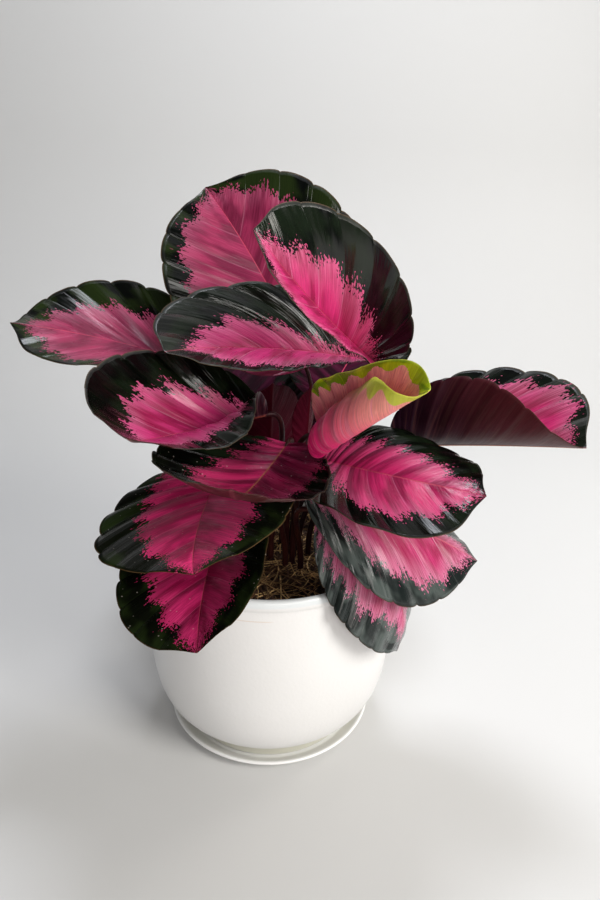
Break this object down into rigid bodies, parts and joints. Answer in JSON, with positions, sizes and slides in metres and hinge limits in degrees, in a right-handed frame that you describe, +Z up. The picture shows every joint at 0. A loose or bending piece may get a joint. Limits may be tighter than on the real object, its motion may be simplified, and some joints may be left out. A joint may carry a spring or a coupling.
{
  "type": "potted calathea",
  "caption": "Calathea with broad pink-centred leaves and near-black green margins, purple undersides, in a round-bellied white glazed pot on a matching saucer.",
  "frame": {"origin": "centre of the saucer's flat underside, on the surface it stands on", "axes": "+Z up; +X to the right and -Y toward the viewer of the picture"},
  "size_m": [0.402, 0.398, 0.4384],
  "materials": {
    "glaze": "satin white glaze",
    "soil": "matte",
    "straw": "matte, dry fibre",
    "leaf": "glossy leaf",
    "young_leaf": "satin leaf"
  },
  "bodies": {
    "root": {"saucer": "glaze", "pot": "glaze", "soil": "soil", "straw_mulch": "straw", "leaf_back_top": "leaf", "leaf_top_right": "leaf", "leaf_upper_left": "leaf", "leaf_far_left": "leaf", "leaf_left": "leaf", "leaf_front": "leaf", "leaf_lower_left": "leaf", "leaf_over_rim_left": "leaf", "leaf_right": "leaf", "leaf_lower_right": "leaf", "leaf_over_rim_right": "leaf", "leaf_far_right": "leaf", "leaf_small": "leaf", "leaf_furled": "leaf", "leaf_back_left": "leaf", "leaf_back_right": "leaf", "leaf_back_low": "leaf", "young_leaf": "young_leaf"}
  },
  "joints": []
}
